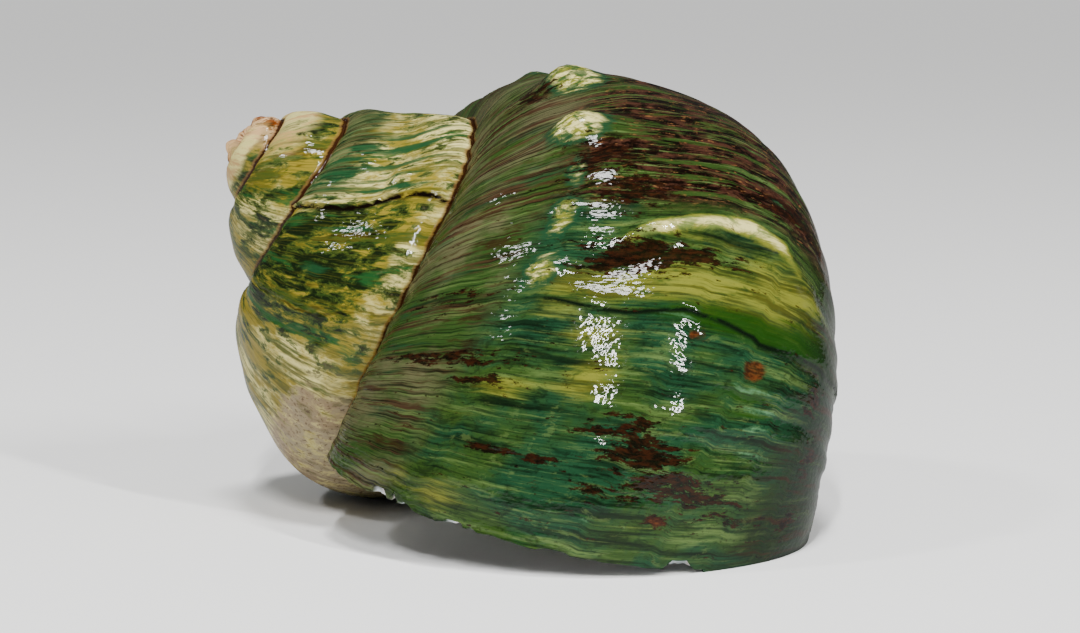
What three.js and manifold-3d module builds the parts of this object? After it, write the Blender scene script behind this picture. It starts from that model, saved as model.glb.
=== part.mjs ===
// Turban shell (Turbo marmoratus), polished, lying on its aperture.
//
// The shell is one coiled tube. Its section keeps its shape and grows by the same factor every turn, so the
// whorls are a screw that widens towards the mouth. Growth is counted in turns: 0 near the lip, negative
// towards the apex. Millimetres. Everything is built in the shell's own frame, with the coiling axis along Z
// and the apex at the top, and is then laid over onto its mouth: +Z up, the apex towards -X, the aperture
// facing the floor.

import * as THREE from 'three';
import { mergeVertices } from 'three/addons/utils/BufferGeometryUtils.js';
import Module from 'manifold-3d';

const wasm = await Module();
wasm.setup();

// ---- Driving dimensions ------------------------------------------------------------------------------

const GROWTH_PER_TURN = 2.01;     // how much the tube grows in one turn
const TUBE_RADIUS = 40;           // mean radius of the tube's section at growth 0
const SPIRAL_RADIUS = 43.5;       // from the coiling axis to the middle of the section at growth 0
const SPIRAL_DROP = 104.2;        // how far the section has moved down the axis from the apex at growth 0
const LAST_DROP = 15;             // extra fall of the last half turn, which bends down to the mouth
const LAST_DROP_RATE = 4;         // how quickly that fall fades towards the apex, per turn
const BODY_GROWTH = -0.6;         // where the last half turn, the one that the mouth cuts, begins
const WHORL_CUTS = [-4, -3.05, -2.15, -1.35, BODY_GROWTH];     // from the worn apex down
const END_GROWTH = 0.125;         // past the lip everywhere; the lip plane trims it
const HEADING_AT_ZERO = 272.8;    // degrees round the axis at growth 0

const SECTION_HEIGHT = 1.2;       // the section is taller than wide
const SECTION_TILT = -8.3;        // degrees, the section leans out from the axis
const SECTION_LOBES = [           // [order, cosine, sine] of the section's departure from an oval
  [2, -0.093, 0.128],
  [3, 0.094, -0.125],
  [4, -0.014, 0.059],
];
const SHOULDER = { angle: 55, width: 16, height: 0.053 };      // blunt keel round the upper whorl
const WORN_TOP = { angle: 43, width: 40, depth: 0.09, until: -0.75, sharpness: 9 };
const FLAT_TOP = { angle: 64, width: 28, depth: 0.23, growth: -1.4, length: 0.18 };   // rubbed flatter
const INNER_FILL = { angle: 152, width: 25, height: 0.4 };     // the section closes up to the columella
const AXIS_CLEARANCE = 0.03;      // the section stops this far short of the axis, in tube radii

const WALL = 6;                   // shell thickness inside the mouth
const LIP_THICKNESS = 2.8;        // thickness of the lip's edge
const LIP_TAPER = [-0.5, -0.2];   // growth over which the wall thins to the lip
const CAVITY_GROWTH = -1.25;      // how far up the tube the hollow goes
const CAVITY_TIP = 0.2;           // turns over which the hollow narrows to its end

const COLUMELLA = [               // [radius, height] down the coiling axis
  [0, -7],
  [4, -38],
  [10, -82],
  [11.5, -95],
  [8, -107],
  [0, -113],
];
const COLUMELLA_SIDES = 20;

const LIP_HEADING = 84.3;         // degrees round the axis that the lip's plane faces
const LIP_PITCH = 29.8;           // degrees above the horizontal that it faces
const LIP_OFFSET = -49.1;         // where that plane stands, from the apex

const AXIS_LEAN = 50.4;           // degrees from upright to the coiling axis, once the shell is laid over
const AXIS_HEADING = -88.9;       // degrees round +Z that it leans towards
const FOOT_WEAR = 1.3;            // the rim and the bulge of the body whorl are ground flat where they rest

const STEPS_PER_TURN = 40;
const TIP_STEPS_PER_TURN = 20;
const SIDES = 26;

// ---- The coiled tube ---------------------------------------------------------------------------------

const degrees = THREE.MathUtils.degToRad;
const smooth = THREE.MathUtils.smoothstep;

// A rounded bump in the section's outline, `away` radians from its middle.
function bump(angle, { angle: middle, width }) {
  const turn = 2 * Math.PI;
  const away = THREE.MathUtils.euclideanModulo(angle - degrees(middle) + Math.PI, turn) - Math.PI;
  return Math.exp(-((away / degrees(width)) ** 2));
}

// Radius of the section's outline, in tube radii. Angle 0 points away from the axis, 90 degrees up.
function outline(angle, growth) {
  let radius = 1;
  for (const [order, cosine, sine] of SECTION_LOBES) {
    radius += cosine * Math.cos(order * angle) + sine * Math.sin(order * angle);
  }
  radius += SHOULDER.height * bump(angle, SHOULDER);
  radius *= 1 + INNER_FILL.height * bump(angle, INNER_FILL);
  const worn = 1 / (1 + Math.exp((growth - WORN_TOP.until) * WORN_TOP.sharpness));
  const rubbed = Math.exp(-(((growth - FLAT_TOP.growth) / FLAT_TOP.length) ** 2));
  radius *= 1 - FLAT_TOP.depth * rubbed * bump(angle, FLAT_TOP);
  return radius * (1 - WORN_TOP.depth * worn * bump(angle, WORN_TOP));
}

// A point of the tube's surface, `inset` millimetres inside the outline.
function tubePoint(growth, angle, inset) {
  const size = GROWTH_PER_TURN ** growth;
  const radius = Math.max(outline(angle, growth) * size * TUBE_RADIUS - inset, 0.05);
  const across = radius * Math.cos(angle);
  const along = radius * Math.sin(angle) * SECTION_HEIGHT;
  const tilt = degrees(SECTION_TILT);
  const out = SPIRAL_RADIUS * size + across * Math.cos(tilt) - along * Math.sin(tilt);
  const fall = SPIRAL_DROP * size + LAST_DROP * Math.exp(LAST_DROP_RATE * growth);
  const height = across * Math.sin(tilt) + along * Math.cos(tilt) - fall;
  const heading = degrees(HEADING_AT_ZERO) - 2 * Math.PI * growth;
  const distance = Math.max(out, AXIS_CLEARANCE * size * TUBE_RADIUS);
  return new THREE.Vector3(distance * Math.cos(heading), distance * Math.sin(heading), height);
}

// A closed length of the tube from growth `from` to `to`, with a fan over each end.
function tube(from, to, stepsPerTurn, inset = () => 0) {
  const first = Math.round(from * stepsPerTurn);
  const steps = Math.round(to * stepsPerTurn) - first;
  const points = [];
  const faces = [];
  for (let step = 0; step <= steps; step += 1) {
    const growth = (first + step) / stepsPerTurn;
    for (let side = 0; side < SIDES; side += 1) {
      points.push(tubePoint(growth, (2 * Math.PI * side) / SIDES, inset(growth)));
    }
  }
  for (let step = 0; step < steps; step += 1) {
    for (let side = 0; side < SIDES; side += 1) {
      const next = (side + 1) % SIDES;
      const a = step * SIDES + side;
      const b = step * SIDES + next;
      const c = a + SIDES;
      const d = b + SIDES;
      faces.push(a, b, d, a, d, c);
    }
  }
  const ends = [0, steps * SIDES];
  for (const ring of ends) {
    const middle = new THREE.Vector3();
    for (let side = 0; side < SIDES; side += 1) {
      middle.addScaledVector(points[ring + side], 1 / SIDES);
    }
    points.push(middle);
    const hub = points.length - 1;
    for (let side = 0; side < SIDES; side += 1) {
      const next = (side + 1) % SIDES;
      if (ring === 0) {
        faces.push(hub, ring + next, ring + side);
      } else {
        faces.push(hub, ring + side, ring + next);
      }
    }
  }
  const geometry = new THREE.BufferGeometry().setFromPoints(points);
  geometry.setIndex(faces);
  return geometry;
}

// How far the hollow's surface stands inside the shell's: the wall, thinning to the lip.
function cavityInset(growth) {
  const wall = THREE.MathUtils.lerp(WALL, LIP_THICKNESS, smooth(growth, ...LIP_TAPER));
  const room = GROWTH_PER_TURN ** growth * TUBE_RADIUS;
  const closing = 1 - smooth(growth, CAVITY_GROWTH, CAVITY_GROWTH + CAVITY_TIP);
  return wall + closing * (room - wall);
}

// ---- Joining and cutting -----------------------------------------------------------------------------

function toSolid(geometry) {
  const bare = geometry.clone();
  bare.deleteAttribute('normal');
  bare.deleteAttribute('uv');
  const merged = mergeVertices(bare, 1e-4);
  const vertProperties = new Float32Array(merged.attributes.position.array);
  const triVerts = new Uint32Array(merged.index.array);
  return new wasm.Manifold(new wasm.Mesh({ numProp: 3, vertProperties, triVerts }));
}

function toGeometry(solid) {
  const mesh = solid.getMesh();
  const geometry = new THREE.BufferGeometry();
  geometry.setAttribute('position', new THREE.BufferAttribute(mesh.vertProperties, 3));
  geometry.setIndex(new THREE.BufferAttribute(mesh.triVerts, 1));
  geometry.computeVertexNormals();
  return geometry;
}

// Leaves out the flat, empty slivers that touching surfaces leave behind.
function largestBody(solid) {
  const bodies = solid.decompose();
  return bodies.reduce((largest, body) => (body.volume() > largest.volume() ? body : largest));
}

// A big block whose top face is the plane `facing` . point = `offset`; the block lies below that plane.
function blockBelow(facing, offset) {
  const size = 600;
  const block = new THREE.BoxGeometry(size, size, size);
  block.translate(0, 0, offset - size / 2);
  const turn = new THREE.Quaternion().setFromUnitVectors(new THREE.Vector3(0, 0, 1), facing);
  return toSolid(block.applyQuaternion(turn));
}

function columella() {
  const profile = COLUMELLA.map(([radius, height]) => new THREE.Vector2(radius, height));
  return toSolid(new THREE.LatheGeometry(profile.reverse(), COLUMELLA_SIDES).rotateX(Math.PI / 2));
}

// ---- The shell ---------------------------------------------------------------------------------------

function makeShell() {
  const pillar = columella();
  const lipFacing = new THREE.Vector3().setFromSphericalCoords(
    1,
    degrees(90 - LIP_PITCH),
    degrees(LIP_HEADING),
  );
  // Spherical coordinates stand on Y in three.js, and the coiling axis stands on Z.
  lipFacing.set(lipFacing.z, lipFacing.x, lipFacing.y);
  const pastLip = blockBelow(lipFacing, LIP_OFFSET);

  // The whorls above the mouth, in lengths of less than a turn, so that none of them meets itself.
  let shell = toSolid(tube(BODY_GROWTH, END_GROWTH, STEPS_PER_TURN)).add(pillar).subtract(pastLip);
  for (let i = 1; i < WHORL_CUTS.length; i += 1) {
    const steps = i > WHORL_CUTS.length - 3 ? STEPS_PER_TURN : TIP_STEPS_PER_TURN;
    shell = shell.add(toSolid(tube(WHORL_CUTS[i - 1], WHORL_CUTS[i], steps)));
  }

  // The hollow. The wall towards the axis is the outside of the whorl before it.
  const hollows = [
    { from: BODY_GROWTH, to: END_GROWTH, behind: [-1.7, -0.775] },
    { from: CAVITY_GROWTH, to: BODY_GROWTH, behind: [-2.3, -1.475] },
  ];
  for (const { from, to, behind } of hollows) {
    const hollow = toSolid(tube(from, to, STEPS_PER_TURN, cavityInset));
    const before = toSolid(tube(...behind, STEPS_PER_TURN));
    shell = shell.subtract(hollow.subtract(before).subtract(pillar));
  }
  return largestBody(shell);
}

function layDown(solid) {
  const geometry = toGeometry(solid);
  geometry.rotateX(degrees(AXIS_LEAN)).rotateZ(degrees(AXIS_HEADING));
  geometry.computeBoundingBox();
  const floor = geometry.boundingBox.min.z + FOOT_WEAR;
  const rested = toGeometry(toSolid(geometry).subtract(blockBelow(new THREE.Vector3(0, 0, 1), floor)));
  rested.computeBoundingBox();
  const middle = rested.boundingBox.getCenter(new THREE.Vector3());
  return rested.translate(-middle.x, -middle.y, -floor);
}

const shell = new THREE.Mesh(
  layDown(makeShell()),
  new THREE.MeshStandardMaterial({ color: 0x6f7a52, roughness: 0.22, metalness: 0 }),
);
shell.name = 'shell';

const turbanShell = new THREE.Group();
turbanShell.add(shell);

export default turbanShell;
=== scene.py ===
"""A polished turban shell (Turbo marmoratus) lying on its mouth, in Blender 4.5.

The shell is built in millimetres in its own frame, coiling axis along Z and apex at the top, and is then
laid over and set down where the frame's CAD solid lies. Growth is counted in turns, 0 near the lip and
negative towards the apex. A growth line is a place where the lip once stood. Its age is its growth less
the lip's at the same angle, so ages are negative too. Angles go round the tube's section, in degrees: 0
points away from the coiling axis and 90 along it, towards the apex.
"""

import math

import bpy
import numpy as np
from mathutils import Matrix, Vector


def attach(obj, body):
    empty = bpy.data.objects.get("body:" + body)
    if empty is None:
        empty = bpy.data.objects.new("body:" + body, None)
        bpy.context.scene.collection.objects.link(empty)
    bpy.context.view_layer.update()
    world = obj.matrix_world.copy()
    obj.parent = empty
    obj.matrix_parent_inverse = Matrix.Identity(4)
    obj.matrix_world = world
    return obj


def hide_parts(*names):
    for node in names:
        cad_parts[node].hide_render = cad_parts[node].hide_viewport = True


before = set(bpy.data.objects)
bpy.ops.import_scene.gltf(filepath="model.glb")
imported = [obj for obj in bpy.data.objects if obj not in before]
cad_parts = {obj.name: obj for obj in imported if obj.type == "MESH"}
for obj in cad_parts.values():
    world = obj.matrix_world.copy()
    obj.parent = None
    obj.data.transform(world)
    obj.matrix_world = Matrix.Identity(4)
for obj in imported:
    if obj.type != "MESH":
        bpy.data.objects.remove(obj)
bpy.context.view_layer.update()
MM = 0.001

# ---- Form, the same as the CAD solid's -------------------------------------------------------------

GROWTH_PER_TURN = 2.01
TUBE_RADIUS = 40.0
SPIRAL_RADIUS = 43.5
SPIRAL_DROP = 104.2
LAST_DROP = 15.0
LAST_DROP_RATE = 4.0
HEADING_AT_ZERO = 272.8
SECTION_HEIGHT = 1.2
SECTION_TILT = -8.3
SECTION_LOBES = ((2, -0.093, 0.128), (3, 0.094, -0.125), (4, -0.014, 0.059))
SHOULDER = {"middle": 55, "width": 16}
SHOULDER_HEIGHT = 0.053
WORN_TOP = {"middle": 43, "width": 40}
WORN_TOP_DEPTH = 0.09
WORN_TOP_UNTIL = -0.75
WORN_TOP_SHARPNESS = 9
FLAT_TOP = {"middle": 64, "width": 28}
FLAT_TOP_DEPTH = 0.23
FLAT_TOP_GROWTH = -1.4
FLAT_TOP_LENGTH = 0.18
INNER_FILL = {"middle": 152, "width": 25}
INNER_FILL_HEIGHT = 0.4
AXIS_CLEARANCE = 0.03
WALL = 6.0
LIP_THICKNESS = 2.8
LIP_TAPER = (-0.5, -0.2)
CAVITY_GROWTH = -1.25
CAVITY_TIP = 0.2
COLUMELLA = ((0, -7), (4, -38), (10, -82), (11.5, -95), (8, -107), (0, -113))
LIP_HEADING = 84.3
LIP_PITCH = 29.8
LIP_OFFSET = -49.1
AXIS_LEAN = 50.4
AXIS_HEADING = -88.9
FOOT_WEAR = 1.3
LEAST_RADIUS = 0.05             # mm, so that the tube never turns inside out

# ---- How finely it is made -------------------------------------------------------------------------

BODY_GROWTH = -0.6
END_GROWTH = 0.125
# Lengths of the tube, each under a turn: from, to, steps.
WHORLS = ((-4, -3.05, 60), (-3.05, -2.15, 100), (-2.15, -1.35, 170), (-1.35, BODY_GROWTH, 270))
LAST_WHORL = (BODY_GROWTH, END_GROWTH, 380)
OUTER_SIDES = 92
INNER_SIDES = 28
OUTER_ARC = (-95, 135)
# Lengths of the hollow: from, to, steps, and the same three of the whorl behind, which bounds it.
HOLLOWS = (
    (BODY_GROWTH, END_GROWTH - 0.004, 150, (-1.7, -0.775, 260)),
    (CAVITY_GROWTH, BODY_GROWTH, 110, (-2.3, -1.475, 160)),
)
CALLUS = 0.4                    # mm of shell laid over that whorl
PILLAR_STEPS = 60
PILLAR_SIDES = 64
FLOOR_BLOCK_HALF = 110.0
LIP_BLOCK_HALF = 90.0
LIP_BLOCK_PITCH = 0.8
BLOCK_DEPTH = 200.0

# ---- Camera: in front, a little above the shell's middle, tipped down, no roll -----------------------

LENS = 100.75
SENSOR = 36.0
CAMERA_PITCH = 6.5
CAMERA_PLACE = (0.0023, -0.5404, 0.0974)

camera = bpy.data.objects.new("camera", bpy.data.cameras.new("camera"))
camera.data.lens = LENS
camera.data.sensor_width = SENSOR
camera.data.dof.use_dof = False
camera.location = CAMERA_PLACE
camera.rotation_euler = (math.radians(90 - CAMERA_PITCH), 0, 0)
bpy.context.scene.collection.objects.link(camera)
bpy.context.scene.camera = camera


def smooth(value, start, end):
    """Hermite step from 0 at start to 1 at end, in either direction."""
    t = np.clip((value - start) / (end - start), 0, 1)
    return t * t * (3 - 2 * t)


def bump(angle, middle, width):
    """A rounded bump in the section's outline; angles in degrees."""
    away = (angle - middle + 180) % 360 - 180
    return np.exp(-((away / width) ** 2))


def outline(growth, angle):
    """Radius of the section in tube radii. Angle 0 points away from the axis, 90 up it."""
    turn = np.radians(angle)
    radius = np.ones(np.broadcast(growth, angle).shape)
    for order, cosine, sine in SECTION_LOBES:
        radius = radius + cosine * np.cos(order * turn) + sine * np.sin(order * turn)
    radius = radius + SHOULDER_HEIGHT * bump(angle, **SHOULDER)
    radius = radius * (1 + INNER_FILL_HEIGHT * bump(angle, **INNER_FILL))
    worn = 1 / (1 + np.exp((growth - WORN_TOP_UNTIL) * WORN_TOP_SHARPNESS))
    rubbed = np.exp(-(((growth - FLAT_TOP_GROWTH) / FLAT_TOP_LENGTH) ** 2))
    radius = radius * (1 - FLAT_TOP_DEPTH * rubbed * bump(angle, **FLAT_TOP))
    return radius * (1 - WORN_TOP_DEPTH * worn * bump(angle, **WORN_TOP))


def size_at(growth):
    """Size of the tube and its coil, 1 at growth 0."""
    return GROWTH_PER_TURN**growth


def surface(growth, angle, lift=0.0):
    """Points of the tube's surface, lifted outwards by some millimetres, in the shell's frame."""
    size = size_at(growth)
    radius = np.maximum(outline(growth, angle) * size * TUBE_RADIUS + lift, LEAST_RADIUS)
    across = radius * np.cos(np.radians(angle))
    along = radius * np.sin(np.radians(angle)) * SECTION_HEIGHT
    tilt = math.radians(SECTION_TILT)
    out = SPIRAL_RADIUS * size + across * math.cos(tilt) - along * math.sin(tilt)
    fall = SPIRAL_DROP * size + LAST_DROP * np.exp(LAST_DROP_RATE * growth)
    height = across * math.sin(tilt) + along * math.cos(tilt) - fall
    out = np.maximum(out, AXIS_CLEARANCE * size * TUBE_RADIUS)
    heading = math.radians(HEADING_AT_ZERO) - 2 * math.pi * growth
    return np.stack([out * np.cos(heading), out * np.sin(heading), height + 0 * out], -1)


def lip_facing():
    """The way that the lip's plane faces, in the shell's frame."""
    pitch, heading = math.radians(LIP_PITCH), math.radians(LIP_HEADING)
    level = math.cos(pitch)
    return Vector((level * math.cos(heading), level * math.sin(heading), math.sin(pitch)))


def lip_curve():
    """Growth at which the lip's plane cuts the tube, for each angle round the section."""
    angles = np.linspace(-180, 180, 181)
    growths = np.linspace(BODY_GROWTH, END_GROWTH, 400)
    height = surface(growths[:, None], angles[None]) @ np.array(lip_facing()) - LIP_OFFSET
    first = np.argmax(height < 0, axis=0)
    return angles, growths[first]


LIP_ANGLES, LIP_GROWTHS = lip_curve()


def age_of(growth, angle):
    """Turns past the lip, so negative on the shell itself."""
    return growth - np.interp((angle + 180) % 360 - 180, LIP_ANGLES, LIP_GROWTHS)


def grown(age):
    """Distance grown along the whorl's outside, in mm, so that growth lines can be spaced evenly."""
    outside = 2 * math.pi * (SPIRAL_RADIUS + TUBE_RADIUS) * size_at(-0.2)
    return outside / math.log(GROWTH_PER_TURN) * GROWTH_PER_TURN**age


def round_section(growth, angle):
    """Distance round the section, in mm, from the middle of the whorl's outside."""
    return np.radians((angle + 180) % 360 - 180) * TUBE_RADIUS * size_at(growth)


def cloud(x, y, seed, waves=20):
    """Smooth seeded noise of unit size; x and y are in its own wavelengths."""
    rng = np.random.default_rng(seed)
    total = np.zeros(np.broadcast(x, y).shape)
    for _ in range(waves):
        way = rng.uniform(0, 2 * math.pi)
        pace = rng.uniform(0.5, 1.6)
        phase = rng.uniform(0, 2 * math.pi)
        total += np.sin(2 * math.pi * pace * (x * math.cos(way) + y * math.sin(way)) + phase)
    return total / math.sqrt(waves / 2)


def clouds(x, y, layers):
    """Noises added up. Each is given by its height, its wavelengths across and along, and its seed."""
    return sum(height * cloud(x / across, y / along, seed) for height, across, along, seed in layers)


# ---- Relief ------------------------------------------------------------------------------------------

# The big growth ridge across the body whorl: angle and age along its crest, and where it rises and fades.
ARCH = ((-60, -0.10), (-30, -0.120), (-7, -0.137), (-2, -0.143), (13, -0.150), (26, -0.149), (36, -0.142))
ARCH += ((42, -0.135), (50, -0.129), (60, -0.126))
ARCH_ARC = (47, 34, -4, -34)
CREST_HEIGHT = 1.5
CREST_BEHIND = 4.5              # how far it slopes down, in mm, on the older side
CREST_AHEAD = 1.9               # and on the side of the lip
TROUGH = {"depth": 0.6, "past": 5.0, "width": 2.6}
ARCH_WANDER = {"height": 0.6, "length": 26, "seed": 5}
STEP = {"at_age": -0.101, "seed": 6}            # a shallow growth step between the ridge and the lip
STEP_HEIGHT = 0.35
STEP_BELOW = (75, 55)           # angles: there is none at the suture, and it is full below
SPIRE_STEP = {"at_age": -1.115, "seed": 7}      # and one across the whorl before
SPIRE_STEP_HEIGHT = 0.7
STEP_REACH = 3.0
STEP_WANDER = {"height": 0.8, "length": 30, "waves": 6}
MARK_REACH = 0.4                # turns from a mark, so that it isn't repeated on the next whorl
# Shoulder knobs: age, angle, height in mm, radius in mm.
KNOBS = [(-0.121, 57, 0.9, 2.4), (-0.158, 59, 0.7, 2.2), (-0.219, 65, 2.9, 4.6), (-0.300, 71, 2.9, 4.6)]
KNOBS += [(-0.300 - 0.085 * i, 70, 2.7 - 0.3 * i, 4.5) for i in range(1, 6)]
KNOBS += [(-1.150, 50, 0.7, 2.4), (-1.045, 64, 0.6, 2.2), (-1.215, 62, 0.5, 2.2)]
# Small scales, just below the middle of the whorl: age, angle, height.
SCALES = ((-0.078, -5, 0.8), (-0.070, -10, 0.7), (-0.062, -10, 0.6))
SCALE_SIZE = (1.5, 4.0)         # across the growth and along it
PIT = (-0.096, 14, -0.5, 0.9)   # age, angle, height, radius
BROKEN_FROM = -3.0              # the oldest whorls are broken and eroded
BROKEN_FULLY = -3.5
# Unevenness, as clouds() takes it: of the surface, the oldest whorls, the lip's edge, its chips' outlines.
UNEVEN = ((0.13, 11, 70, 1), (0.05, 4, 40, 2))
ERODED = ((0.22, 7, 7, 3), (0.06, 3, 3, 4))
ERODED_DEPTH = 0.1
LIP_UNEVEN = ((0.12, 14, 14, 11), (0.06, 4, 4, 12))
CHIP_RAGGED = ((0.25, 3, 3, 13),)


def spot(growth, angle, at_age, at_angle, across, along=None):
    """A round mark: 1 at its middle, falling off over `across` mm over the growth and `along` mm round."""
    age = age_of(growth, angle)
    there = at_age + np.interp(at_angle, LIP_ANGLES, LIP_GROWTHS)
    over = (grown(age) - grown(at_age)) / across
    around = (round_section(growth, angle) - round_section(there, at_angle)) / (along or across)
    return np.exp(-(over**2) - around**2) * (np.abs(age - at_age) < MARK_REACH)


def hump(past, behind, ahead):
    """1 at a line, falling off over `behind` mm before it and `ahead` mm past it."""
    return np.where(past < 0, np.exp(-((past / behind) ** 2)), np.exp(-((past / ahead) ** 2)))


def arch_profile(growth, angle):
    """Distance past the crest of the growth ridge, in mm, and how fully the ridge stands there."""
    angles, ages = np.array(ARCH).T
    crest = np.interp((angle + 180) % 360 - 180, angles, ages)
    past = grown(age_of(growth, angle)) - grown(crest)
    along = round_section(growth, angle) / ARCH_WANDER["length"]
    past = past + ARCH_WANDER["height"] * cloud(along, 0 * growth, ARCH_WANDER["seed"])
    standing = smooth(angle, ARCH_ARC[0], ARCH_ARC[1]) * smooth(angle, ARCH_ARC[3], ARCH_ARC[2])
    return past, standing


def growth_step(growth, angle, at_age, seed):
    """A ledge where growth once stopped: distance past it, in mm."""
    along = round_section(growth, angle) / STEP_WANDER["length"]
    wander = cloud(along, 0 * growth, seed, STEP_WANDER["waves"])
    return grown(age_of(growth, angle)) - grown(at_age) + STEP_WANDER["height"] * wander


def relief(growth, angle):
    """How far the surface stands out from the plain form, in mm."""
    size = size_at(growth)
    age = age_of(growth, angle)
    over = grown(age)
    around = round_section(growth, angle)
    lift = clouds(over, around, UNEVEN) * np.sqrt(size)
    past, standing = arch_profile(growth, angle)
    crest = hump(past, CREST_BEHIND, CREST_AHEAD)
    trough = np.exp(-(((past - TROUGH["past"]) / TROUGH["width"]) ** 2))
    lift = lift + standing * (CREST_HEIGHT * crest - TROUGH["depth"] * trough)
    past = growth_step(growth, angle, **STEP)
    ledge = STEP_HEIGHT * np.exp(-np.abs(past) / STEP_REACH) * (past < 0)
    lift = lift + ledge * smooth(angle, *STEP_BELOW)
    past = growth_step(growth, angle, **SPIRE_STEP)
    lift = lift + SPIRE_STEP_HEIGHT * np.exp(-np.abs(past) / STEP_REACH) * (past < 0)
    for at_age, at_angle, height, radius in KNOBS:
        lift = lift + height * spot(growth, angle, at_age, at_angle, radius)
    for at_age, at_angle, height in SCALES:
        lift = lift + height * spot(growth, angle, at_age, at_angle, *SCALE_SIZE)
    at_age, at_angle, height, radius = PIT
    lift = lift + height * spot(growth, angle, at_age, at_angle, radius)
    broken = smooth(growth, BROKEN_FROM, BROKEN_FULLY)
    return lift + broken * (clouds(over, around, ERODED) - ERODED_DEPTH)


def cavity_lift(growth, angle):
    """The hollow's surface: the wall's thickness inside, thinning to the lip, closing at its inner end."""
    wall = WALL + (LIP_THICKNESS - WALL) * smooth(growth, *LIP_TAPER)
    room = size_at(growth) * TUBE_RADIUS
    closing = 1 - smooth(growth, CAVITY_GROWTH, CAVITY_GROWTH + CAVITY_TIP)
    return -(wall + closing * (room - wall)) + 0 * angle


# ---- Meshes ------------------------------------------------------------------------------------------


def section_angles():
    """Angles of the tube's sides, closer together on the outside of the whorl."""
    start, end = OUTER_ARC
    outside = np.linspace(start, end, OUTER_SIDES, endpoint=False)
    inside = np.linspace(end, start + 360, INNER_SIDES, endpoint=False)
    return np.concatenate([outside, inside])


def make_object(name, points, faces):
    mesh = bpy.data.meshes.new(name)
    mesh.from_pydata(points.tolist(), [], faces)
    mesh.validate()
    piece = bpy.data.objects.new(name, mesh)
    bpy.context.scene.collection.objects.link(piece)
    return piece


def grid_faces(rows, columns, closed):
    """Quads over a grid of points; the columns close on themselves where asked."""
    width = columns if closed else columns - 1
    row, column = np.meshgrid(np.arange(rows - 1), np.arange(width), indexing="ij")
    across = (column + 1) % columns
    corners = [row * columns + column, row * columns + across]
    corners += [(row + 1) * columns + across, (row + 1) * columns + column]
    return np.stack(corners, -1).reshape(-1, 4)


def tube(name, start, end, steps, lift):
    """A closed length of the tube, with a fan over each end."""
    angles = section_angles()
    growth = np.linspace(start, end, steps + 1)[:, None]
    rings = surface(growth, angles[None], lift(growth, angles[None]))
    sides = len(angles)
    points = rings.reshape(-1, 3)
    faces = grid_faces(steps + 1, sides, closed=True).tolist()
    for ring, order in ((0, -1), (steps, 1)):
        hub = len(points)
        points = np.vstack([points, rings[ring].mean(0)])
        edge = [(ring * sides + i, ring * sides + (i + 1) % sides) for i in range(sides)]
        faces += [[hub, a, b][::order] for a, b in edge]
    return make_object(name, points, faces)


def columella():
    """The solid pillar round the axis."""
    knots = np.array(COLUMELLA, float)
    fine = np.linspace(0, len(knots) - 1, PILLAR_STEPS)
    radius = np.interp(fine, range(len(knots)), knots[:, 0])
    height = np.interp(fine, range(len(knots)), knots[:, 1])
    turn = np.linspace(0, 2 * math.pi, PILLAR_SIDES, endpoint=False)[None]
    radius = np.maximum(radius, 0.01)[:, None]
    rings = np.stack([radius * np.cos(turn), radius * np.sin(turn), height[:, None] + 0 * turn], -1)
    faces = grid_faces(PILLAR_STEPS, PILLAR_SIDES, closed=True).tolist()
    faces = [face[::-1] for face in faces]
    faces.append(list(range(PILLAR_SIDES)))
    faces.append(list(range((PILLAR_STEPS - 1) * PILLAR_SIDES, PILLAR_STEPS * PILLAR_SIDES))[::-1])
    return make_object("columella", rings.reshape(-1, 3), faces)


def block_below(name, facing, offset, half, top=None, pitch=None):
    """A block whose top is the plane facing . point = offset, raised by top(x, y) where that is given."""
    columns = 2 if pitch is None else int(2 * half / pitch)
    line = np.linspace(-half, half, columns)
    x, y = np.meshgrid(line, line, indexing="ij")
    level = np.full_like(x, offset) if top is None else offset + top(x, y)
    upper = np.stack([x, y, level], -1).reshape(-1, 3)
    lower = upper.copy()
    lower[:, 2] = offset - BLOCK_DEPTH
    count = len(upper)
    cap = grid_faces(columns, columns, closed=False)
    faces = cap[:, ::-1].tolist() + (cap + count).tolist()
    grid = np.arange(count).reshape(columns, columns)
    loop = np.concatenate([grid[:-1, 0], grid[-1, :-1], grid[:0:-1, -1], grid[0, :0:-1]])
    after = np.roll(loop, -1)
    faces += [[b, a, a + count, b + count] for a, b in zip(loop.tolist(), after.tolist())]
    turn = Vector((0, 0, 1)).rotation_difference(facing).to_matrix()
    points = np.vstack([upper, lower]) @ np.array(turn).T
    return make_object(name, points, faces)


# Bites out of the lip's edge: angle round the section, depth and radius in mm.
LIP_CHIPS = ((66, 1.8, 2.6), (58, 0.8, 2.0), (44, 1.1, 2.6))
LIP_CHIPS += ((20, 0.5, 2.0), (-9, 1.5, 2.4), (-30, 0.5, 2.0))


def lip_cutter():
    """Everything past the lip: a plane, slightly uneven, that bites into the edge where it is chipped."""
    facing = lip_facing()
    turn = np.array(Vector((0, 0, 1)).rotation_difference(facing).to_matrix())
    chips = []
    for angle, depth, radius in LIP_CHIPS:
        place = surface(np.interp(angle, LIP_ANGLES, LIP_GROWTHS), np.array(angle)) @ turn
        chips.append((place[0], place[1], depth, radius))

    def top(x, y):
        raised = clouds(x, y, LIP_UNEVEN)
        ragged = 1 + clouds(x, y, CHIP_RAGGED)
        for at_x, at_y, depth, radius in chips:
            away = np.hypot(x - at_x, y - at_y) / radius * ragged
            raised = raised + depth * smooth(away, 1.3, 0.5)
        return raised

    return block_below("lip_cutter", facing, LIP_OFFSET, LIP_BLOCK_HALF, top, LIP_BLOCK_PITCH)


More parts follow.
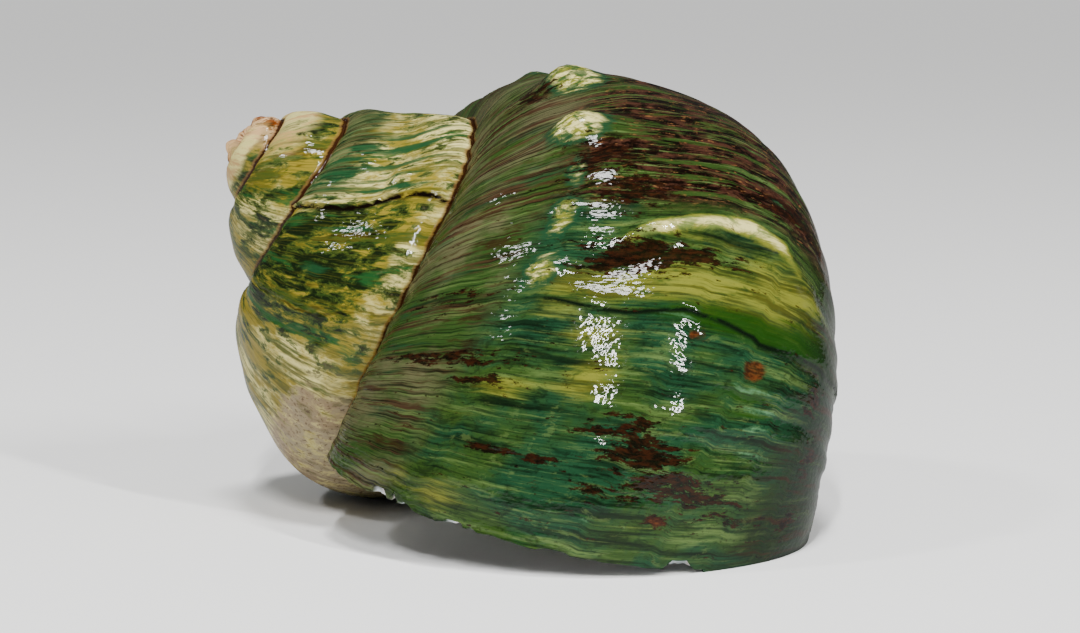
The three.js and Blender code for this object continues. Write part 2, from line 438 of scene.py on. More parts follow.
def combine(piece, other, operation):
    """Joins or cuts one closed mesh with another, and drops the other."""
    step = piece.modifiers.new(operation, "BOOLEAN")
    step.operation = operation
    step.solver = "MANIFOLD"
    step.object = other
    whole = piece.evaluated_get(bpy.context.evaluated_depsgraph_get())
    mesh = bpy.data.meshes.new_from_object(whole)
    piece.modifiers.clear()
    piece.data = mesh
    bpy.data.objects.remove(other)
    return piece


def callus(growth, angle):
    return CALLUS + 0 * growth * angle


def make_shell():
    """The whole shell, still standing on its axis: the whorls joined, cut off at the lip and hollowed."""
    piece = tube("turban_shell", *LAST_WHORL, relief)
    combine(piece, columella(), "UNION")
    combine(piece, lip_cutter(), "DIFFERENCE")
    for start, end, steps in WHORLS[::-1]:
        combine(piece, tube("whorl", start, end, steps, relief), "UNION")
    for start, end, steps, behind in HOLLOWS:
        hollow = tube("hollow", start, end, steps, cavity_lift)
        combine(hollow, tube("before", *behind, callus), "DIFFERENCE")
        combine(hollow, columella(), "DIFFERENCE")
        combine(piece, hollow, "DIFFERENCE")
    return piece


shell = make_shell()


def points_of(mesh):
    flat = np.empty(len(mesh.vertices) * 3, dtype=np.float32)
    mesh.vertices.foreach_get("co", flat)
    return flat.reshape(-1, 3).astype(float)


# ---- Where each point lies on the shell --------------------------------------------------------------

OLDEST_GROWTH = -4.05
YOUNGEST_AGE = 0.012            # a little past the lip, whose edge is uneven
FAR = 1e3                       # mm, more than any distance on the shell
LIP_SLOPE = 140                 # mm of depth inside the tube that is taken off for each turn past the lip
LIP_SLOPE_END = 0.2             # turns past the lip


def locate(points):
    """For points in the shell's frame: growth, angle, distance to the next whorl, depth inside the tube."""
    heading = np.arctan2(points[:, 1], points[:, 0])
    part = ((math.radians(HEADING_AT_ZERO) - heading) / (2 * math.pi)) % 1.0
    out = np.hypot(points[:, 0], points[:, 1])
    tilt = math.radians(SECTION_TILT)
    found = []
    for turn in range(-5, 1):
        growth = part + turn
        size = size_at(growth)
        fall = SPIRAL_DROP * size + LAST_DROP * np.exp(LAST_DROP_RATE * growth)
        right = out - SPIRAL_RADIUS * size
        up = points[:, 2] + fall
        across = right * math.cos(tilt) + up * math.sin(tilt)
        along = (up * math.cos(tilt) - right * math.sin(tilt)) / SECTION_HEIGHT
        angle = np.degrees(np.arctan2(along, across))
        radius = outline(growth, angle) * size * TUBE_RADIUS
        away = np.hypot(across, along) - radius - relief(growth, angle)
        found.append(np.stack([growth, angle, away]))
    found = np.stack(found)
    growth, angle, away = found[:, 0], found[:, 1], found[:, 2]
    real = (growth > OLDEST_GROWTH) & (age_of(growth, angle) < YOUNGEST_AGE)
    gap = np.where(real, np.abs(away), FAR)
    own = np.argmin(gap, axis=0)
    pick = np.arange(len(points))
    gap[own, pick] = FAR
    seam = gap.min(axis=0)
    past_lip = np.clip(age_of(growth, angle), 0, LIP_SLOPE_END) * LIP_SLOPE
    depth = np.where(growth > CAVITY_GROWTH, -away - past_lip, -FAR).max(axis=0)
    return growth[own, pick], angle[own, pick], seam, depth


def store(mesh, name, values):
    layer = mesh.attributes.new(name, "FLOAT", "POINT")
    layer.data.foreach_set("value", np.asarray(values, dtype=np.float32))


# Marks are given by age, angle, mm across the growth, mm along it, and strength.
# Brown blotches and spots, and painted shade in the trough under the growth ridge.
BROWN_MARKS = (
    (-0.043, 13, 4.5, 6.0, 1.0),
    (-0.052, 18, 3.0, 4.0, 0.8),
    (-0.034, 4, 2.6, 8.0, 0.9),
    (-0.026, 12, 1.4, 9.0, 0.7),
    (-0.022, -16, 1.4, 9.0, 0.7),
    (-0.049, 25, 1.8, 4.0, 0.8),
    (-0.029, -4, 1.8, 9.0, 0.85),
    (-0.035, 34, 1.3, 4.0, 0.8),
    (-0.036, 46, 1.2, 5.0, 0.8),
    (-0.018, 2, 1.4, 1.8, 1.0),
    (-0.083, -30, 5.0, 2.2, 0.8),
    (-0.054, -38, 6.0, 2.2, 0.8),
    (-0.022, -38, 4.0, 2.0, 0.8),
    (-0.064, 58, 1.3, 6.0, 0.8),
    # Painted shade in the trough under the growth ridge, in black-brown.
    (-0.128, 36, 3.6, 8.0, 1.25),
    (-0.131, 24, 2.2, 9.0, 1.1),
    (-0.122, 44, 2.4, 5.0, 0.9),
    (-0.175, -2, 4.0, 9.0, 0.9),
    (-0.165, 44, 5.0, 7.0, 0.9),
    (-0.190, 56, 6.0, 6.0, 0.9),
    (-0.075, 70, 1.8, 14.0, 0.85),
    (-0.110, 78, 2.2, 8.0, 0.7),
    (-0.290, 82, 6.0, 5.0, 0.8),
)
# Yellow-green patches, most of them on the growth ridge or between it and the lip; one is a painted glow
# beside a highlight.
YELLOW_MARKS = (
    (-0.118, 16, 6.5, 20.0, 1.0),
    (-0.126, -4, 7.0, 12.0, 1.0),
    (-0.114, 40, 5.0, 12.0, 1.0),
    (-0.100, 50, 3.0, 6.0, 0.7),
    (-0.140, 10, 3.0, 14.0, 0.6),
    # Painted highlight: a pale glow where the left strip light's highlight falls.
    (-0.072, 33, 6.5, 5.0, 0.95),
    (-0.088, 38, 4.0, 5.0, 0.75),
    (-0.062, 51, 2.4, 5.0, 0.85),
    (-0.012, 52, 3.5, 5.0, 0.8),
    (-0.014, 64, 3.0, 3.0, 0.7),
    (-0.158, 48, 2.0, 5.0, 0.5),
    (-0.200, 20, 2.0, 9.0, 0.5),
)
# Cream along the shoulder, most of it on the knobs; the streak down the keel is partly a painted highlight.
CREAM_MARKS = (
    # A cream-green streak down the shoulder's keel, over small knobs, partly a painted highlight along it.
    (-0.120, 57, 4.5, 2.5, 0.90),
    (-0.150, 59, 6.0, 2.1, 0.80),
    (-0.182, 61, 5.0, 1.6, 0.60),
    (-0.216, 65, 4.4, 4.2, 1.15),
    (-0.291, 69, 6.0, 3.8, 1.25),
    (-0.385, 70, 2.8, 3.0, 1.0),
    (-0.470, 70, 2.6, 2.8, 1.0),
    (-0.555, 70, 2.4, 2.6, 0.9),
)
# Pale edges of the scales and of a few growth lines.
PALE_MARKS = (
    (-0.077, -5, 0.8, 4.2, 0.9),
    (-0.069, -10, 0.8, 4.4, 1.0),
    (-0.061, -10, 0.7, 3.6, 0.9),
    (-0.050, -14, 0.6, 7.0, 0.7),
    (-0.101, 20, 0.6, 9.0, 0.6),
    (-0.015, 22, 0.5, 12.0, 0.6),
)
# Rusty spots.
RUST_MARKS = (
    (-0.086, -4, 2.2, 2.0, 1.2),
    (-0.095, 14, 1.4, 1.3, 1.1),
    (-0.018, 2, 1.5, 1.8, 0.8),
)
# Green bands of the whorl before the last.
SPIRE_MARKS = (
    (-1.172, 66, 1.3, 17.0, 1.0),
    (-1.205, 62, 1.4, 14.0, 1.0),
    (-1.148, 62, 0.9, 12.0, 0.8),
    (-1.235, 58, 1.8, 12.0, 0.9),
    (-1.160, 84, 3.0, 2.6, 0.9),
    (-1.215, 84, 3.0, 2.6, 0.9),
    (-1.132, 50, 1.2, 9.0, 0.8),
    (-1.080, 56, 1.6, 6.0, 0.8),
    (-1.030, 62, 2.0, 4.0, 0.7),
)
# Deep green between the growth ridge and the lip.
DEEP_MARKS = (
    (-0.103, 0, 3.8, 20.0, 1.15),
    (-0.106, -24, 6.0, 12.0, 1.1),
    (-0.074, -4, 1.6, 7.0, 0.8),
    (-0.066, -8, 1.0, 7.0, 0.8),
)
# Every list of marks, by the name of its attribute.
MARKS = {
    "brown": BROWN_MARKS,
    "yellow": YELLOW_MARKS,
    "deep": DEEP_MARKS,
    "cream": CREAM_MARKS,
    "band": SPIRE_MARKS,
    "pale": PALE_MARKS,
    "rust": RUST_MARKS,
}
# Where each part of the pattern sets in and is full, by age unless it says otherwise.
SPIRE_SETS_IN = (-0.72, -0.80)
OLD_SETS_IN = (-0.148, -0.166)
OLD_WANES = (-0.32, -0.46)
OLD_LOST = 0.6                  # share of it that is lost where it has waned
TIP_SETS_IN = (-3.2, -3.45)     # by growth
NACRE_SETS_IN = (0.7, 1.8)      # by mm inside the tube
BARE_SETS_IN = (-0.98, -0.88)
BARE_ENDS = (-0.62, -0.70)
BARE_BELOW = (46, 26)           # by angle
CREST_LINE = (2.0, 1.8)         # mm behind the crest and ahead of it
CREST_WHITENS = (-12, 12)       # by angle
CREST_LEAST = 0.35              # its strength where it isn't white
CREST_OLDEST = -0.3


def marks(growth, angle, places):
    """How strongly a list of marks shows, the strongest where they overlap."""
    total = np.zeros_like(growth)
    for at_age, at_angle, across, along, strength in places:
        total = np.maximum(total, strength * spot(growth, angle, at_age, at_angle, across, along))
    return total


def paint_masks(mesh, points):
    """Stores what the material needs to know of each point, as attributes of the mesh."""
    growth, angle, seam, depth = locate(points)
    age = age_of(growth, angle)
    store(mesh, "grown", grown(age))
    store(mesh, "around", round_section(growth, angle))
    store(mesh, "age", age)
    store(mesh, "angle", angle)
    store(mesh, "seam", np.clip(seam, 0, 20))
    store(mesh, "nacre", smooth(depth, *NACRE_SETS_IN))
    for name, places in MARKS.items():
        store(mesh, name, marks(growth, angle, places))
    past, standing = arch_profile(growth, angle)
    strength = CREST_LEAST + (1 - CREST_LEAST) * smooth(angle, *CREST_WHITENS)
    store(mesh, "crest", hump(past, *CREST_LINE) * standing * strength * (age > CREST_OLDEST))
    store(mesh, "step", growth_step(growth, angle, **STEP))
    store(mesh, "spire_step", growth_step(growth, angle, **SPIRE_STEP))
    store(mesh, "spire", smooth(age, *SPIRE_SETS_IN))
    store(mesh, "old", smooth(age, *OLD_SETS_IN) * (1 - OLD_LOST * smooth(age, *OLD_WANES)))
    store(mesh, "tip", smooth(growth, *TIP_SETS_IN))
    store(mesh, "bare", smooth(age, *BARE_SETS_IN) * smooth(age, *BARE_ENDS) * smooth(angle, *BARE_BELOW))


MEASURED = (-2.2, END_GROWTH, 900)      # growths, from and to, at which the resting shell is measured


def resting_place():
    """How the shell lies: the turn that tips it over, and the move that sets it on the floor."""
    lean = Matrix.Rotation(math.radians(AXIS_LEAN), 4, "X")
    tip = Matrix.Rotation(math.radians(AXIS_HEADING), 4, "Z") @ lean
    growth = np.linspace(*MEASURED)[:, None]
    angle = np.linspace(-180, 180, 181)[None]
    standing = surface(growth, angle)[age_of(growth, angle) <= 0]
    laid = standing @ np.array(tip)[:3, :3].T
    middle = (laid.min(0) + laid.max(0)) / 2
    return tip, Vector((-middle[0], -middle[1], -laid[:, 2].min() - FOOT_WEAR))


def lay_down(piece):
    """Sets the shell down on its mouth, with its foot worn flat, and turns millimetres into metres."""
    tip, move = resting_place()
    lay = Matrix.Translation(move) @ tip
    piece.data.transform(lay)
    below = block_below("floor_cutter", Vector((0, 0, 1)), 0.0, FLOOR_BLOCK_HALF)
    combine(piece, below, "DIFFERENCE")
    piece.data.validate()
    back = np.array(lay.inverted())
    paint_masks(piece.data, points_of(piece.data) @ back[:3, :3].T + back[:3, 3])
    piece.data.transform(Matrix.Scale(MM, 4))


lay_down(shell)

# ---- Materials ---------------------------------------------------------------------------------------


def srgb(red, green, blue):
    """A colour given as it looks on screen, 0 to 255, as the linear value that a shader takes."""
    linear = []
    for part in (red, green, blue):
        part = part / 255
        linear.append(part / 12.92 if part <= 0.04045 else ((part + 0.055) / 1.055) ** 2.4)
    return (*linear, 1.0)


GREEN = srgb(40, 62, 22)
TEAL = srgb(22, 56, 34)
DARK_GREEN = srgb(7, 17, 7)
DEEP_GREEN = srgb(20, 52, 4)
BRIGHT_GREEN = srgb(26, 72, 32)
BAND_GREEN = srgb(24, 62, 34)
YELLOW_GREEN = srgb(108, 110, 38)
OLIVE = srgb(66, 68, 20)
PALE_TEAL = srgb(76, 116, 80)
PALE_GREEN = srgb(84, 104, 54)
PURPLE_BROWN = srgb(58, 34, 24)
BLACK_BROWN = srgb(9, 4, 2)
BROWN = srgb(40, 16, 6)
RUST = srgb(104, 48, 12)
DULL_RUST = srgb(86, 44, 18)
CREAM = srgb(206, 196, 126)
CREAM_YELLOW = srgb(124, 110, 36)
RAMP_GREY = srgb(82, 80, 54)
PINK_WHITE = srgb(136, 124, 98)
TAN = srgb(124, 84, 48)
OLD_CREAM = srgb(176, 142, 96)
APEX_PINK = srgb(192, 156, 114)
SILVER = (0.66, 0.65, 0.62, 1.0)
# The nacre's hues, by how far it faces away from the eye.
PEARL = (
    (0.25, (0.86, 0.84, 0.80, 1)),
    (0.45, (0.80, 0.88, 0.80, 1)),
    (0.62, (0.92, 0.78, 0.82, 1)),
    (0.80, (0.74, 0.84, 0.90, 1)),
)
PEARL_AMOUNT = 0.65
# Heights of the surface's unevenness, in mm.
RIDGE_BUMP = 0.04
WAVE_BUMP = 0.05
GRAIN_BUMP = 0.07
SEAM_BUMP = -0.25
SHARP_EDGE = 48                 # degrees; edges sharper than this are not smoothed


class Nodes:
    """Short ways to add nodes to a material. Each value may be a socket, a number or a colour."""

    def __init__(self, material):
        material.use_nodes = True
        self.tree = material.node_tree
        self.tree.nodes.clear()

    def put(self, socket, value):
        if isinstance(value, bpy.types.NodeSocket):
            self.tree.links.new(value, socket)
        else:
            socket.default_value = value

    def add(self, kind, inputs=None, **settings):
        made = self.tree.nodes.new("ShaderNode" + kind)
        for key, value in settings.items():
            setattr(made, key, value)
        for key, value in (inputs or {}).items():
            self.put(made.inputs[key], value)
        return made

    def calc(self, operation, *values):
        made = self.add("Math", operation=operation)
        for socket, value in zip(made.inputs, values):
            self.put(socket, value)
        return made.outputs[0]

    def attribute(self, name):
        return self.add("Attribute", attribute_name=name).outputs["Fac"]

    def place(self, x, y):
        return self.add("CombineXYZ", {"X": x, "Y": y, "Z": 0.0}).outputs[0]

    def noise(self, vector, across, along, detail=2.0, roughness=0.5, distortion=0.0):
        """Cloudy noise about 0.5, in marks `across` mm wide over the growth and `along` mm round it."""
        stretch = self.add("VectorMath", operation="MULTIPLY")
        self.put(stretch.inputs[0], vector)
        stretch.inputs[1].default_value = (1 / across, 1 / along, 1.0)
        made = self.add("TexNoise", {"Vector": stretch.outputs[0], "Scale": 1.0, "Detail": detail})
        made.inputs["Roughness"].default_value = roughness
        made.inputs["Distortion"].default_value = distortion
        return made.outputs["Fac"]

    def step(self, value, start, end):
        """0 up to start and 1 from end on, with a soft step between; start may be the greater."""
        made = self.add("MapRange", interpolation_type="SMOOTHSTEP")
        self.put(made.inputs["Value"], value)
        made.inputs["From Min"].default_value = min(start, end)
        made.inputs["From Max"].default_value = max(start, end)
        made.inputs["To Min"].default_value = 0.0 if start < end else 1.0
        made.inputs["To Max"].default_value = 1.0 if start < end else 0.0
        return made.outputs["Result"]

    def mix(self, amount, first, second):
        made = self.add("Mix", data_type="RGBA", blend_type="MIX")
        self.put(made.inputs[0], amount)
        self.put(made.inputs[6], first)
        self.put(made.inputs[7], second)
        return made.outputs[2]

    def layers(self, color, *shades):
        """Lays shades over a colour: each by a value, where it steps from and to, and a strength."""
        for value, start, end, strength, shade in shades:
            color = self.mix(self.times(self.step(value, start, end), strength), color, shade)
        return color

    def times(self, value, factor):
        return self.calc("MULTIPLY", value, factor)

    def spread(self, noise, gain):
        """Noise about 0.5 as a swing about zero."""
        return self.calc("MULTIPLY_ADD", noise, gain, -0.5 * gain)

    def both(self, *values):
        total = values[0]
        for value in values[1:]:
            total = self.calc("MULTIPLY", total, value)
        return total

    def sum(self, *values):
        total = values[0]
        for value in values[1:]:
            total = self.calc("ADD", total, value)
        return total


class ShellNodes(Nodes):
    """The shell's nodes, with its places and the noises that its colours share."""

    def __init__(self, material):
        super().__init__(material)
        grown_mm, around = self.attribute("grown"), self.attribute("around")
        self.age, self.angle = self.attribute("age"), self.attribute("angle")
        self.skin = self.place(grown_mm, around)
        # The growth lines waver, so that nothing runs dead straight.
        waver = self.spread(self.noise(self.skin, 45, 40), 1.2)
        self.lines = self.place(self.sum(grown_mm, waver), around)
        self.hair = self.noise(self.lines, 0.42, 26, 2, 0.5)
        self.fine = self.noise(self.lines, 0.9, 18, 5, 0.68)
        self.streak = self.noise(self.lines, 2.2, 18, 5, 0.68)
        self.broad = self.noise(self.lines, 7.0, 24, 5, 0.65, 0.3)
        self.cloudy = self.noise(self.skin, 20, 26, 5, 0.65, 0.5)
        self.mottle = self.noise(self.lines, 2.6, 4.6, 5, 0.7, 0.4)
        self.fleck = self.noise(self.lines, 0.8, 2.0, 3, 0.7)
        self.speck = self.noise(self.skin, 0.7, 0.9, 3, 0.7)


def body_color(n):
    """Body whorl: teal and green, streaked along the growth lines."""
    return n.layers(
        n.mix(n.step(n.cloudy, 0.42, 0.58), GREEN, TEAL),
        (n.streak, 0.52, 0.68, 0.75, PALE_GREEN),
        (n.streak, 0.48, 0.36, 0.80, DARK_GREEN),
        (n.fine, 0.55, 0.68, 0.50, PALE_GREEN),
        (n.fine, 0.47, 0.37, 0.65, DARK_GREEN),
        (n.hair, 0.47, 0.30, 0.55, DARK_GREEN),
        (n.mottle, 0.46, 0.36, 0.55, DARK_GREEN),
        (n.mottle, 0.56, 0.66, 0.35, PALE_GREEN),
        (n.speck, 0.44, 0.34, 0.50, DARK_GREEN),
    )


def patches(n, color):
    """Yellow-green patches, one of them a painted highlight glow, the deep green behind the growth ridge,
    clouds, and thin pale growth lines.
    """
    patch = n.sum(n.attribute("yellow"), n.spread(n.broad, 1.8), n.spread(n.fine, 1.3))
    bright = n.mix(n.step(n.sum(n.streak, n.spread(n.fine, 0.5)), 0.42, 0.58), OLIVE, YELLOW_GREEN)
    bright = n.layers(bright, (n.mottle, 0.47, 0.36, 0.7, GREEN))
    deep = n.sum(n.attribute("deep"), n.spread(n.streak, 1.4), n.spread(n.fine, 0.8))
    color = n.layers(color, (patch, 0.25, 1.0, 0.92, bright), (deep, 0.35, 0.95, 0.85, DEEP_GREEN))

    # Half a turn before the lip the green is broken by paler and yellower clouds, as on the spire.
    cloud_edge = n.step(n.sum(n.broad, n.spread(n.mottle, 0.8)), 0.48, 0.62)
    clouded = n.both(n.step(n.age, -0.36, -0.55), cloud_edge)
    color = n.mix(n.times(clouded, 0.8), color, n.mix(n.step(n.fine, 0.42, 0.58), OLIVE, CREAM_YELLOW))

    # Thin pale edges of the three scales and of a few growth lines.
    scale = n.sum(n.attribute("pale"), n.spread(n.mottle, 1.8), n.spread(n.fine, 1.0))
    return n.layers(color, (scale, 0.45, 1.0, 0.8, PALE_TEAL))


def older_part(n, color):
    """Older part of the body whorl: purple-brown, crossed by green and yellow-green streaks."""
    stained = n.layers(
        n.mix(n.step(n.mottle, 0.44, 0.60), BLACK_BROWN, PURPLE_BROWN),
        (n.streak, 0.51, 0.60, 0.90, GREEN),
        (n.fine, 0.55, 0.66, 0.75, PALE_GREEN),
        (n.fleck, 0.58, 0.68, 0.60, TAN),
        (n.hair, 0.46, 0.32, 0.60, BLACK_BROWN),
    )
    less_below = n.times(n.step(n.angle, 36, 14), 0.07)
    extent = n.sum(n.broad, n.spread(n.mottle, 0.5), n.spread(n.streak, 0.5), less_below)
    return n.mix(n.times(n.attribute("old"), n.step(extent, 0.76, 0.60)), color, stained)


def ramp_and_base(n, color):
    """The sloping ramp under the suture, grey-green with brown lines; painted shade towards the whorl's
    base; the growth step.
    """
    slope = n.layers(
        n.mix(n.step(n.cloudy, 0.40, 0.58), RAMP_GREY, GREEN),
        (n.broad, 0.54, 0.64, 0.60, TEAL),
        (n.streak, 0.51, 0.40, 0.85, PURPLE_BROWN),
        (n.fine, 0.54, 0.66, 0.55, PALE_GREEN),
        (n.fine, 0.48, 0.38, 0.70, DARK_GREEN),
        (n.hair, 0.48, 0.32, 0.70, BLACK_BROWN),
        (n.broad, 0.43, 0.36, 0.80, BROWN),
    )
    color = n.layers(color, (n.sum(n.angle, n.spread(n.cloudy, 14)), 58, 72, 0.9, slope))

    # Painted shade: darker towards the base of the whorl, streaked brown and dark green.
    base_shade = n.both(n.step(n.sum(n.angle, n.spread(n.cloudy, 20)), -10, -34), n.step(n.age, -0.30, -0.16))
    color = n.mix(n.times(base_shade, 0.75), color, n.mix(n.step(n.streak, 0.36, 0.50), BROWN, DARK_GREEN))

    # The growth step beside the ridge is a fine dark line.
    past = n.attribute("step")
    ledge = n.both(n.step(past, -0.5, 0.1), n.step(past, 1.1, 0.2))
    return n.mix(n.both(ledge, n.step(n.angle, 62, 50), n.step(n.mottle, 0.36, 0.5)), color, DARK_GREEN)


def crest_and_knobs(n, color):
    """Cream crest of the growth ridge, and cream tops of the knobs, each in a ring of teal; the cream
    streak down the shoulder's keel is partly a painted highlight.
    """
    crest = n.sum(n.attribute("crest"), n.spread(n.mottle, 0.9))
    pale = n.mix(n.step(n.sum(crest, n.spread(n.fine, 1.4)), 0.60, 1.0), YELLOW_GREEN, CREAM)
    pale = n.layers(pale, (n.mottle, 0.52, 0.40, 0.7, PALE_GREEN))
    knob = n.sum(n.attribute("cream"), n.spread(n.mottle, 0.9), n.spread(n.fine, 0.6))
    top = n.mix(n.step(n.sum(n.fleck, n.spread(n.streak, 0.8)), 0.44, 0.60), YELLOW_GREEN, CREAM)
    top = n.layers(top, (n.mottle, 0.53, 0.43, 0.85, BAND_GREEN))
    return n.layers(
        color,
        (crest, 0.30, 0.66, 0.95, pale),
        (knob, 0.15, 0.34, 0.80, TEAL),
        (knob, 0.34, 0.80, 0.95, top),
    )


def blotches_and_shade(n, color):
    """Brown blotches with ragged edges, painted shade in the trough under the growth ridge, small flecks
    along the growth lines, and a few rusty spots.
    """
    ragged = n.sum(n.spread(n.noise(n.lines, 1.6, 3.4, 5, 0.75), 3.4), n.spread(n.fine, 1.8))
    blotch_and_shade = n.step(n.sum(n.attribute("brown"), ragged), 0.46, 0.66)
    scattered = n.step(n.noise(n.lines, 1.3, 3.6, 4, 0.75), 0.63, 0.68)
    scattered = n.both(scattered, n.step(n.cloudy, 0.44, 0.56))
    blotch_and_shade = n.calc("MAXIMUM", blotch_and_shade, n.times(scattered, 0.8))
    color = n.mix(n.times(blotch_and_shade, 0.95), color, n.mix(n.step(n.fleck, 0.40, 0.65), BLACK_BROWN, BROWN))
    rusty = n.sum(n.attribute("rust"), n.spread(n.mottle, 1.4))
    return n.layers(color, (rusty, 0.40, 0.75, 0.9, n.mix(n.step(n.fleck, 0.40, 0.66), BROWN, DULL_RUST)))


def spire_color(n):
    """Spire: cream and yellow with green mottles and bands, greener in the middle of its last whorl."""
    greener = n.both(n.step(n.age, -1.13, -1.08), n.step(n.age, -0.93, -1.0), n.step(n.angle, 20, 34))
    older = n.step(n.age, -1.60, -1.75)
    topmost = n.both(n.step(n.age, -1.11, -1.14), n.step(n.age, -1.55, -1.4))
    shares = n.sum(n.cloudy, n.spread(n.mottle, 0.5), n.times(greener, -0.10), n.times(topmost, 0.09))
    creamy = n.sum(shares, n.times(older, -0.04))
    shares = n.sum(n.mottle, n.spread(n.broad, 0.7), n.times(greener, 0.14), n.times(older, 0.05))
    dapple = n.sum(shares, n.times(topmost, 0.01))
    band = n.sum(n.attribute("band"), n.spread(n.streak, 1.2), n.spread(n.fine, 0.8))
    color = n.layers(
        n.mix(n.step(creamy, 0.46, 0.62), CREAM_YELLOW, CREAM),
        (n.streak, 0.48, 0.62, 0.80, OLIVE),
        (dapple, 0.49, 0.60, 0.92, GREEN),
        (dapple, 0.57, 0.68, 0.92, DARK_GREEN),
        (n.broad, 0.56, 0.63, 0.80, BRIGHT_GREEN),
        (n.broad, 0.44, 0.37, 0.80, n.mix(n.step(n.streak, 0.42, 0.55), BLACK_BROWN, GREEN)),
        (n.fine, 0.47, 0.36, 0.65, OLIVE),
        (n.hair, 0.46, 0.32, 0.50, OLIVE),
        (band, 0.35, 0.75, 0.90, BAND_GREEN),
    )

    # A green edge under the suture of its last whorl, and pale crowns on the whorls above.
    edge = n.step(n.sum(n.angle, n.spread(n.mottle, 26), n.spread(n.streak, 20)), 72, 86)
    sutural = n.both(topmost, edge)
    color = n.mix(n.times(sutural, 0.85), color, n.mix(n.step(n.fine, 0.42, 0.58), DARK_GREEN, BAND_GREEN))
    faded = n.step(n.sum(n.age, n.spread(n.mottle, 0.5), n.spread(n.cloudy, 0.3)), -2.10, -2.28)
    crown = n.both(faded, n.step(n.sum(n.angle, n.spread(n.mottle, 40)), 44, 64))
    return n.mix(n.times(crown, 0.8), color, n.mix(n.step(n.mottle, 0.42, 0.56), OLD_CREAM, CREAM))


def spire_wear(n, color):
    """The spire's bare, pinkish stretch, its growth step, and the worn tip."""
    rubbed = n.layers(
        n.mix(n.times(n.step(n.cloudy, 0.44, 0.60), 0.35), PINK_WHITE, TAN),
        (n.mottle, 0.50, 0.38, 0.6, CREAM),
        (n.mottle, 0.56, 0.64, 0.5, OLIVE),
        (n.speck, 0.54, 0.62, 0.7, PURPLE_BROWN),
    )
    bare = n.sum(n.attribute("bare"), n.spread(n.mottle, 2.2), n.spread(n.broad, 1.6))
    color = n.layers(color, (bare, 0.35, 0.95, 0.95, rubbed))
    past = n.attribute("spire_step")
    ledge = n.both(n.step(past, -0.5, 0.1), n.step(past, 1.3, 0.3))
    color = n.mix(n.both(ledge, n.step(n.mottle, 0.38, 0.50)), color, BLACK_BROWN)
    worn = n.mix(n.step(n.sum(n.mottle, n.spread(n.cloudy, 0.6)), 0.50, 0.60), APEX_PINK, RUST)
    worn = n.layers(worn, (n.fleck, 0.47, 0.38, 0.85, BROWN))
    return n.mix(n.attribute("tip"), color, worn)


def pearl(n):
    """Mother-of-pearl, whose hue shifts as it turns away from the eye."""
    sheen = n.add("LayerWeight", {"Blend": 0.35}).outputs["Facing"]
    rainbow = n.add("ValToRGB")
    n.put(rainbow.inputs["Fac"], n.sum(sheen, n.times(n.cloudy, 0.6)))
    elements = rainbow.color_ramp.elements
    elements[0].position, elements[0].color = PEARL[0]
    elements[1].position, elements[1].color = PEARL[-1]
    for position, shade in PEARL[1:-1]:
        elements.new(position).color = shade
    return n.mix(PEARL_AMOUNT, SILVER, rainbow.outputs["Color"])


def uneven(n):
    """Fine growth lines, small dimples, and a groove at the suture."""
    grain = n.noise(n.skin, 0.9, 1.1, 1, 0.4)
    ridges = n.noise(n.lines, 0.8, 9, 1, 0.4)
    waves = n.noise(n.lines, 2.6, 20, 1, 0.4)
    height = n.sum(n.times(ridges, RIDGE_BUMP), n.times(waves, WAVE_BUMP), n.times(grain, GRAIN_BUMP))
    height = n.sum(height, n.times(n.step(n.attribute("seam"), 0.8, 0.1), SEAM_BUMP))
    return n.add("Bump", {"Height": height, "Distance": MM, "Strength": 1.0}).outputs[0]


def shell_material():
    material = bpy.data.materials.new("polished_turban_shell")
    n = ShellNodes(material)
    color = patches(n, body_color(n))
    color = blotches_and_shade(n, crest_and_knobs(n, ramp_and_base(n, older_part(n, color))))
    color = n.mix(n.attribute("spire"), color, spire_wear(n, spire_color(n)))

    # Suture: a fine dark line with a tan edge.
    seam = n.sum(n.attribute("seam"), n.spread(n.fleck, 0.7))
    color = n.layers(color, (seam, 1.0, 0.6, 0.5, TAN), (seam, 0.6, 0.3, 0.95, BROWN))

    nacre = n.attribute("nacre")
    normal = uneven(n)
    bsdf = n.add("BsdfPrincipled", {"Base Color": n.mix(nacre, color, pearl(n)), "Normal": normal})
    n.put(bsdf.inputs["Roughness"], n.sum(n.times(n.cloudy, 0.2), 0.30))
    n.put(bsdf.inputs["Metallic"], n.times(nacre, 0.35))
    bsdf.inputs["Specular IOR Level"].default_value = 0.0
    bsdf.inputs["Coat Weight"].default_value = 0.25
    bsdf.inputs["Coat Roughness"].default_value = 0.06
    bsdf.inputs["Coat IOR"].default_value = 1.5
    n.put(bsdf.inputs["Coat Normal"], normal)
    n.put(n.add("OutputMaterial").inputs["Surface"], bsdf.outputs[0])
    return material


shell.data.materials.clear()
shell.data.materials.append(shell_material())
for face in shell.data.polygons:
    face.use_smooth = True
shell.data.set_sharp_from_angle(angle=math.radians(SHARP_EDGE))
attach(shell, "root")
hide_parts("shell")

# ---- Floor and light -----------------------------------------------------------------------------------

FLOOR_HALF = 14.0
TARGET = Vector((0, 0, 0.04))
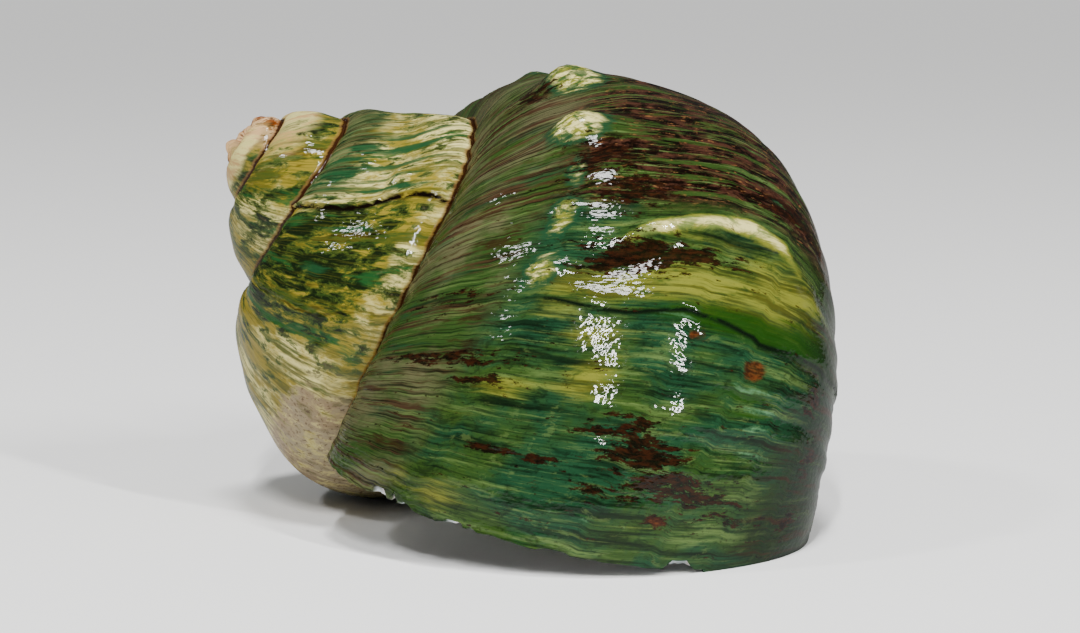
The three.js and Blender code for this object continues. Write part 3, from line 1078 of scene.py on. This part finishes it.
# Area lights: name, heading and height in degrees, distance, width and length in metres, and watts.
SOFTBOXES = (
    ("strip_left", -4, 44, 1.2, 0.03, 0.42, 12),
    ("strip_right", 38, 36, 1.2, 0.03, 0.36, 12),
    ("far_left", -70, 50, 1.4, 0.12, 0.14, 5),
)
SUN_STRENGTH = 2.5
SUN_WIDTH = 10                  # degrees across
SUN_TURN = (11, 2, 0)           # degrees away from straight down
SKY = (1.0, 1.0, 1.0, 1)
SKY_STRENGTH = 0.18

floor_mesh = bpy.data.meshes.new("floor")
corners = [(-FLOOR_HALF, -FLOOR_HALF, 0), (FLOOR_HALF, -FLOOR_HALF, 0)]
corners += [(FLOOR_HALF, FLOOR_HALF, 0), (-FLOOR_HALF, FLOOR_HALF, 0)]
floor_mesh.from_pydata(corners, [], [(0, 1, 2, 3)])
floor = bpy.data.objects.new("floor", floor_mesh)
bpy.context.scene.collection.objects.link(floor)
floor_material = bpy.data.materials.new("pale_floor")
floor_nodes = Nodes(floor_material)
paint = floor_nodes.add("BsdfPrincipled", {"Base Color": (0.88, 0.88, 0.87, 1), "Roughness": 0.8})
floor_nodes.put(floor_nodes.add("OutputMaterial").inputs["Surface"], paint.outputs[0])
floor_mesh.materials.append(floor_material)


def softbox(name, heading, height, distance, width, length, power):
    """A rectangular light aimed at the shell; heading 0 is in front of it, 90 to its right."""
    turn, rise = math.radians(heading), math.radians(height)
    way = Vector((math.sin(turn) * math.cos(rise), -math.cos(turn) * math.cos(rise), math.sin(rise)))
    light = bpy.data.lights.new(name, "AREA")
    light.shape = "RECTANGLE"
    light.size, light.size_y = width, length
    light.energy = power
    lamp = bpy.data.objects.new(name, light)
    lamp.location = TARGET + way * distance
    lamp.rotation_euler = way.to_track_quat("Z", "Y").to_euler()
    bpy.context.scene.collection.objects.link(lamp)


for row in SOFTBOXES:
    softbox(*row)

sun = bpy.data.lights.new("top_light", "SUN")
sun.energy = SUN_STRENGTH
sun.angle = math.radians(SUN_WIDTH)
sun_lamp = bpy.data.objects.new("top_light", sun)
sun_lamp.rotation_euler = [math.radians(part) for part in SUN_TURN]
bpy.context.scene.collection.objects.link(sun_lamp)

world = bpy.data.worlds.new("studio")
bpy.context.scene.world = world
world.use_nodes = True
world.node_tree.nodes["Background"].inputs["Color"].default_value = SKY
world.node_tree.nodes["Background"].inputs["Strength"].default_value = SKY_STRENGTH
